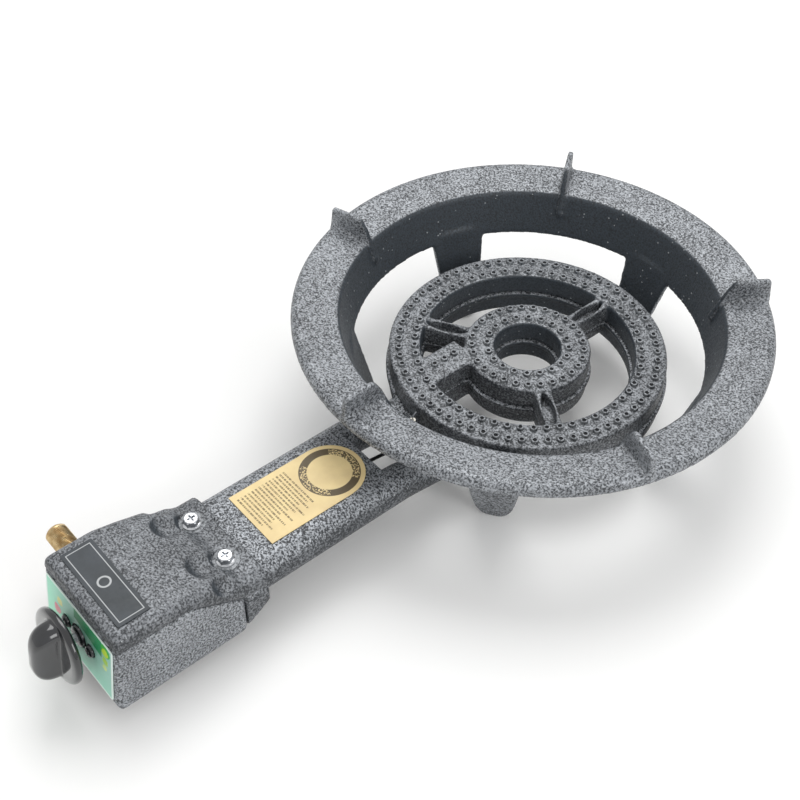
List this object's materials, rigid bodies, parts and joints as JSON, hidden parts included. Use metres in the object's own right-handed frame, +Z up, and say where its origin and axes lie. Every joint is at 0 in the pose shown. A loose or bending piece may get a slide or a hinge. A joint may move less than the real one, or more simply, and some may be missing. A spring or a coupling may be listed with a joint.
{
  "type": "gas ring burner",
  "caption": "Low cast-iron gas ring burner with a finned round pot stand, a ported double-ring head, a flat arm and a valve box with a knob and a brass inlet.",
  "frame": {"origin": "centre of the bounding box, on the floor the feet stand on", "axes": "+Z up; -Y runs along the arm from the ring to the knob; the gas inlet points to -X"},
  "size_m": [0.3716, 0.6316, 0.129],
  "materials": {
    "hammertone_iron": "silver and black hammertone paint on sand-cast iron",
    "dark_iron": "dark hammertone paint on sand-cast iron",
    "zinc_steel": "bright zinc plate",
    "plain_steel": "plain turned steel",
    "black_steel": "blackened steel",
    "brass": "turned brass, bright where cut",
    "knob_plastic": "glossy moulded phenolic",
    "panel_film": "printed film",
    "label_film": "printed paper-backed film",
    "badge_film": "printed film, plain",
    "black_plastic": "moulded ABS",
    "ceramic": "glazed alumina",
    "lead_rubber": "silicone sleeve"
  },
  "bodies": {
    "stand": {"stand_ring": "hammertone_iron", "burner_top": "dark_iron", "burner_body": "hammertone_iron", "box_base": "hammertone_iron", "box_cover": "hammertone_iron", "cover_screw_left": "zinc_steel", "cover_screw_right": "zinc_steel", "stand_bolt_left": "zinc_steel", "stand_bolt_right": "zinc_steel", "head_screw_1": "zinc_steel", "head_screw_2": "zinc_steel", "head_screw_3": "zinc_steel", "valve_body": "brass", "valve_gland": "black_steel", "front_decal": "panel_film", "valve_screw_left": "black_steel", "valve_screw_right": "black_steel", "igniter_body": "black_plastic", "gas_rail": "brass", "injector_left": "brass", "injector_right": "brass", "inlet_fitting": "brass", "inlet_nut_outer": "brass", "inlet_nut_inner": "brass", "electrode_ceramic": "ceramic", "electrode_pin": "plain_steel", "electrode_bracket": "zinc_steel", "spark_lead": "lead_rubber", "lead_clip_1": "zinc_steel", "lead_clip_2": "zinc_steel", "arm_label": "label_film", "cover_badge": "badge_film"},
    "plug": {"valve_plug": "brass", "return_spring": "plain_steel"},
    "stem": {"valve_stem": "plain_steel", "knob": "knob_plastic"},
    "shutter_left": {"air_shutter_left": "zinc_steel"},
    "shutter_right": {"air_shutter_right": "zinc_steel"}
  },
  "joints": [
    {"name": "knob_turn", "type": "hinge", "parent": "stand", "child": "plug", "pos_m": [0, -0.27782, 0.0513], "axis": [0, -0.989, 0.1478], "range_deg": [0, 180]},
    {"name": "knob_push", "type": "slide", "parent": "plug", "child": "stem", "axis": [0, 0.989, -0.1478], "range_m": [0, 0.003], "stiffness_N_per_m": 600, "springref_m": -0.005},
    {"name": "air_shutter_left_turn", "type": "hinge", "parent": "stand", "child": "shutter_left", "pos_m": [-0.029, -0.18802, 0.047], "axis": [0, 1, 0], "range_deg": [0, 45]},
    {"name": "air_shutter_right_turn", "type": "hinge", "parent": "stand", "child": "shutter_right", "pos_m": [0.029, -0.18802, 0.047], "axis": [0, 1, 0], "range_deg": [0, 45]}
  ]
}
